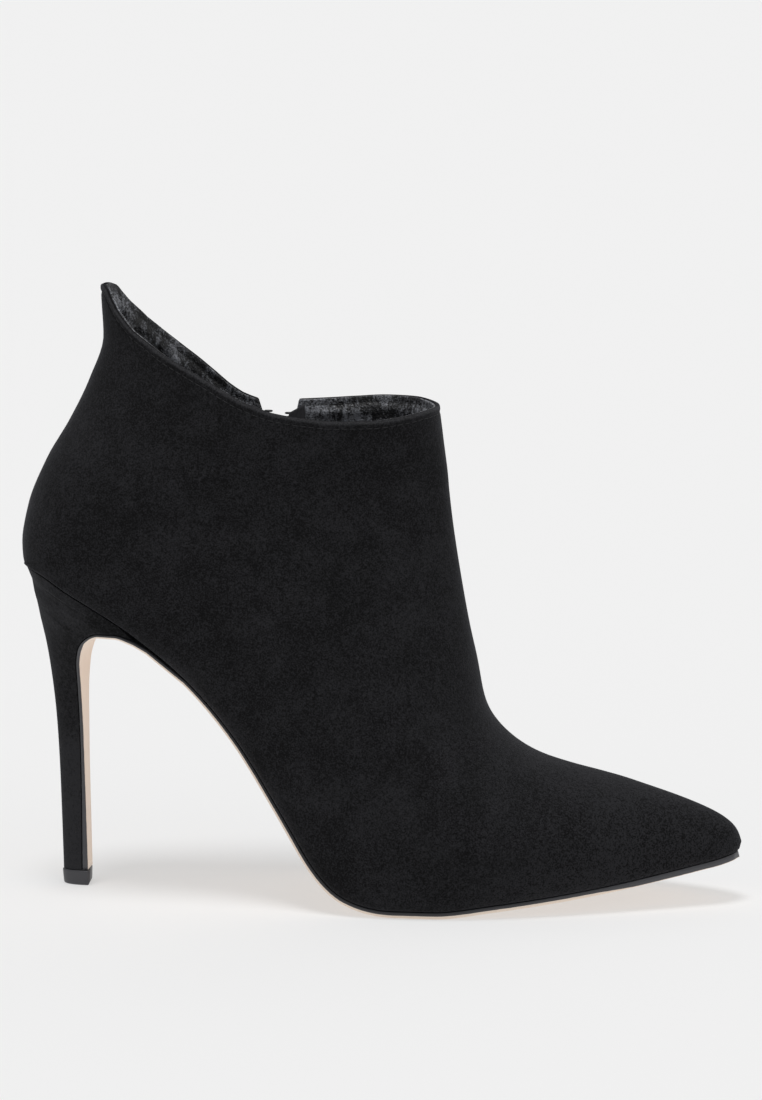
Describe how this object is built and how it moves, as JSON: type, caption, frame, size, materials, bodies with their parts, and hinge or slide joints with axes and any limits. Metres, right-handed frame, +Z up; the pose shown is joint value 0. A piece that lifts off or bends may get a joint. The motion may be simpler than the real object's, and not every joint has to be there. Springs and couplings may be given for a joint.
{
  "type": "stiletto ankle bootie",
  "caption": "Pointed-toe suede ankle bootie with a high stiletto heel, a swept collar that rises to a peak at the back, and a zip on the inner side",
  "frame": {"origin": "on the floor under the middle of the shoe's box", "axes": "+X to the toe, +Y to the inner side of the right foot, +Z up"},
  "size_m": [0.2229, 0.0783, 0.1887],
  "materials": {
    "suede": "matt suede with a short nap",
    "sole_leather": "smooth pale sole leather with a dark painted edge",
    "heel_suede": "matt suede cover",
    "top_lift": "moulded dark top lift",
    "sock_lining": "smooth lining leather",
    "zip_tape": "woven tape with plastic coils",
    "zip_metal": "dark plated metal"
  },
  "bodies": {
    "shoe": {"upper": "suede", "outsole": "sole_leather", "heel": "heel_suede", "heel_cap": "top_lift", "insole": "sock_lining", "zip_tape_front": "zip_tape", "zip_tape_back": "zip_tape", "zip_slider": "zip_metal"},
    "zip_pull": {"zip_pull": "zip_metal"}
  },
  "joints": [
    {"name": "pull_hinge", "type": "hinge", "parent": "shoe", "child": "zip_pull", "pos_m": [-0.0345, 0.02865, 0.1361], "axis": [1, 0, 0], "range_deg": [0, 165]}
  ]
}
